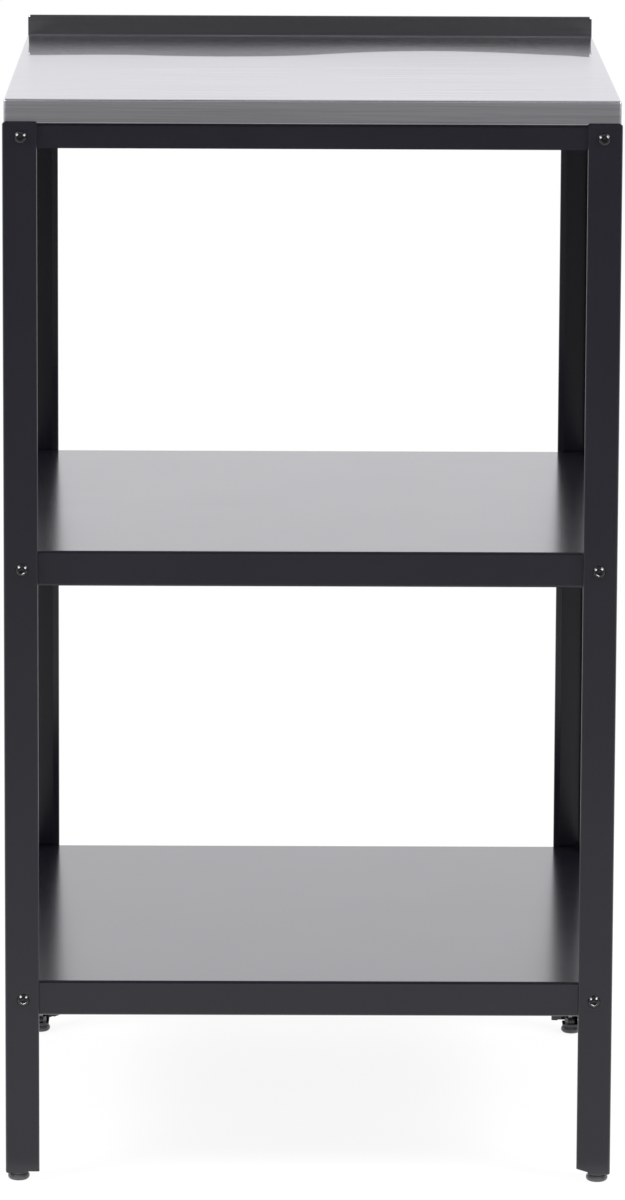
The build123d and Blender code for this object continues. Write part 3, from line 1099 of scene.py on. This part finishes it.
@dataclass
class Studio:
    """A pale floor, a white backdrop behind, a dim room in front and two softboxes, in metres."""

    floor_low: Pair = (-4.0, -9.0)
    floor_high: Pair = (4.0, 12.0)
    floor_cells: int = 8
    floor_tone: str = "#efefef"
    # The floor glows less near the module, so that its shadow shows, and fully from a distance on
    floor_glow: float = 0.89
    floor_clear: Pair = (0.5, 2.4)
    # Depths in front of the module, and how strongly gloss sees the floor's glow there
    floor_near: Pair = (-0.3, 0.56)
    floor_far: Pair = (-5.0, 0.18)
    room_dim: float = 0.10
    room_edge: Pair = (-0.35, 0.15)
    room_tint: str = "#fcfbff"
    softbox_place: Place = (1.75, -0.95, 2.05)
    softbox_size: Pair = (1.25, 1.0)
    softbox_watts: float = 80.0
    fill_place: Place = (0.0, -3.6, 1.2)
    fill_size: Pair = (2.4, 2.4)
    fill_watts: float = 105.0
    aim: Place = (0.0, 0.0, 0.5)
    eye: Place = (-0.028, -5.4, 1.49)
    pitch_down: float = 9.697
    yaw_right: float = 0.324
    roll: float = 0.258
    focal_px: float = 6438.0
    shift_up: float = -0.12

    def ray_share(self, tree: Tree, *kinds: str) -> Socket:
        """Say whether a ray is of one of some kinds.

        Args:
            tree: The node tree that asks.
            kinds: The kinds of ray, as the light path names them.

        Returns:
            A socket that is one for such a ray and nothing for the others.
        """
        path = add_node(tree, "ShaderNodeLightPath").outputs
        share = path[kinds[0]]
        for kind in kinds[1:]:
            either = {0: share, 1: path[kind]}
            share = add_node(tree, "ShaderNodeMath", either, operation="MAXIMUM").outputs[0]
        return share

    def floor(self) -> None:
        """Lay the floor under the module, as a stage that isn't part of it."""
        bm = bmesh.new()
        bmesh.ops.create_grid(bm, x_segments=self.floor_cells, y_segments=self.floor_cells, size=0.5)
        low, high = Vector(self.floor_low), Vector(self.floor_high)
        bmesh.ops.scale(bm, vec=(*(high - low), 1), verts=bm.verts[:])
        bmesh.ops.translate(bm, vec=(*((high + low) / 2), 0), verts=bm.verts[:])
        mesh = bpy.data.meshes.new("studio_floor")
        bm.to_mesh(mesh)
        bm.free()
        mesh.materials.append(self.paper())
        obj = bpy.data.objects.new("studio_floor", mesh)
        bpy.context.scene.collection.objects.link(obj)

    def paper(self) -> bpy.types.Material:
        """Make the floor's paper, white to the eye with a soft shadow left in it, and clear from below.

        Returns:
            The paper's material.
        """
        paper = bpy.data.materials.new("white_backdrop_paper")
        paper.use_nodes = True
        paper.cycles.emission_sampling = "NONE"
        tree = paper.node_tree
        tree.nodes.remove(tree.nodes["Principled BSDF"])
        matte = add_node(tree, "ShaderNodeBsdfDiffuse", {"Color": linear(self.floor_tone)})
        glow = add_node(tree, "ShaderNodeEmission", {"Strength": self.glow_strength(tree)})
        place = add_node(tree, "ShaderNodeTexCoord").outputs["Object"]
        away = add_node(tree, "ShaderNodeVectorMath", {0: place}, operation="LENGTH").outputs["Value"]
        near, far = self.floor_clear
        clears = {"Value": away, "From Min": near, "From Max": far, "To Min": self.floor_glow}
        white = add_node(tree, "ShaderNodeMapRange", clears, interpolation_type="SMOOTHSTEP")
        seen = self.ray_share(tree, "Is Camera Ray", "Is Glossy Ray", "Is Transmission Ray")
        shown = {0: seen, 1: white.outputs["Result"]}
        share = add_node(tree, "ShaderNodeMath", shown, operation="MULTIPLY")
        above = {0: share.outputs[0], 1: matte.outputs[0], 2: glow.outputs[0]}
        upper = add_node(tree, "ShaderNodeMixShader", above)
        below = add_node(tree, "ShaderNodeNewGeometry").outputs["Backfacing"]
        clear = add_node(tree, "ShaderNodeBsdfTransparent")
        sides = {0: below, 1: upper.outputs[0], 2: clear.outputs[0]}
        surface = add_node(tree, "ShaderNodeMixShader", sides)
        tree.links.new(surface.outputs[0], tree.nodes["Material Output"].inputs["Surface"])
        return paper

    def glow_strength(self, tree: Tree) -> Socket:
        """Keep the floor white to the eye, and let gloss see it dim away in front of the module.

        Args:
            tree: The floor's node tree.

        Returns:
            A socket with the strength of the floor's glow.
        """
        eye = self.ray_share(tree, "Is Camera Ray")
        place = add_node(tree, "ShaderNodeTexCoord").outputs["Object"]
        depth = add_node(tree, "ShaderNodeSeparateXYZ", {"Vector": place}).outputs["Y"]
        (near, bright), (far, dim) = self.floor_near, self.floor_far
        fade = {"Value": depth, "From Min": far, "From Max": near, "To Min": dim, "To Max": bright}
        front = add_node(tree, "ShaderNodeMapRange", fade).outputs["Result"]
        behind = add_node(tree, "ShaderNodeMath", {0: depth, 1: near}, operation="GREATER_THAN").outputs[0]
        gloss = add_node(tree, "ShaderNodeMath", {0: front, 1: behind}, operation="MAXIMUM").outputs[0]
        return add_node(tree, "ShaderNodeMath", {0: gloss, 1: eye}, operation="MAXIMUM").outputs[0]

    def world(self) -> None:
        """Make the world white to the eye, and white behind and dim in front for all else."""
        world = bpy.data.worlds.new("studio_room")
        world.use_nodes = True
        tree = world.node_tree
        plain = self.ray_share(tree, "Is Camera Ray", "Is Transmission Ray")
        direction = add_node(tree, "ShaderNodeTexCoord").outputs["Generated"]
        depth = add_node(tree, "ShaderNodeSeparateXYZ", {"Vector": direction}).outputs["Y"]
        near, far = self.room_edge
        fade = {"Value": depth, "From Min": near, "From Max": far, "To Min": self.room_dim}
        room = add_node(tree, "ShaderNodeMapRange", fade, interpolation_type="SMOOTHSTEP")
        strengths = {0: plain, 1: room.outputs["Result"]}
        strength = add_node(tree, "ShaderNodeMath", strengths, operation="MAXIMUM").outputs[0]
        tints = {0: plain, MIX_A: linear(self.room_tint), MIX_B: linear("#ffffff")}
        tint = add_node(tree, "ShaderNodeMix", tints, data_type="RGBA").outputs[MIX_OUT]
        sky = add_node(tree, "ShaderNodeBackground", {"Color": tint, "Strength": strength})
        tree.links.new(sky.outputs[0], tree.nodes["World Output"].inputs["Surface"])
        bpy.context.scene.world = world

    def lamp(self, name: str, place: Place, size: Pair, watts: float) -> Piece:
        """Hang a softbox that points at the module.

        Args:
            name: The lamp's name.
            place: Where it hangs.
            size: Its width and height.
            watts: Its power.

        Returns:
            The lamp.
        """
        light = bpy.data.lights.new(name, "AREA")
        light.shape = "RECTANGLE"
        light.size, light.size_y = size
        light.energy = watts
        obj = bpy.data.objects.new(name, light)
        obj.location = place
        obj.rotation_euler = (Vector(self.aim) - Vector(place)).to_track_quat("-Z", "Y").to_euler()
        bpy.context.scene.collection.objects.link(obj)
        return obj

    def lamps(self) -> None:
        """Hang a softbox at each side, and a fill in front that no gloss shows."""
        x, y, z = self.softbox_place
        self.lamp("softbox_left", (-x, y, z), self.softbox_size, self.softbox_watts)
        self.lamp("softbox_right", (x, y, z), self.softbox_size, self.softbox_watts)
        fill = self.lamp("front_fill", self.fill_place, self.fill_size, self.fill_watts)
        fill.visible_glossy = False

    def camera(self) -> None:
        """Stand the camera in front, a little above the worktop."""
        pitch, yaw, roll = (math.radians(a) for a in (self.pitch_down, self.yaw_right, self.roll))
        data = bpy.data.cameras.new("camera")
        data.lens = data.sensor_width * self.focal_px / IMAGE_LONG_SIDE
        data.shift_y = self.shift_up
        obj = bpy.data.objects.new("camera", data)
        level = Matrix.Rotation(-yaw, 4, "Z") @ Matrix.Rotation(math.pi / 2 - pitch, 4, "X")
        obj.matrix_world = Matrix.Translation(self.eye) @ level @ Matrix.Rotation(roll, 4, "Z")
        bpy.context.scene.collection.objects.link(obj)
        bpy.context.scene.camera = obj

    def build(self) -> None:
        """Set up the floor, the world, the lamps and the camera."""
        self.floor()
        self.world()
        self.lamps()
        self.camera()
        bpy.context.scene.view_settings.view_transform = "Standard"


def main() -> None:
    """Build the sub-assemblies in order and report each piece."""
    logging.basicConfig(level=logging.INFO, format="%(name)s: %(message)s")
    SteelFrame().dress()
    log.info("dressed %d nodes", len(frame["nodes"]))
    pieces = [Worktop().build(), WorktopScrews().build(), WeldNuts().build()]
    pieces += [kind(level).build() for level in Level for kind in (LegBolts, RivetNuts)]
    pieces += [FootStem(corner).build() for corner in Corner]
    for piece in pieces:
        log.info("%s: %d faces", piece.name, len(piece.data.polygons))
    Studio().build()


if __name__ == "__main__":
    main()
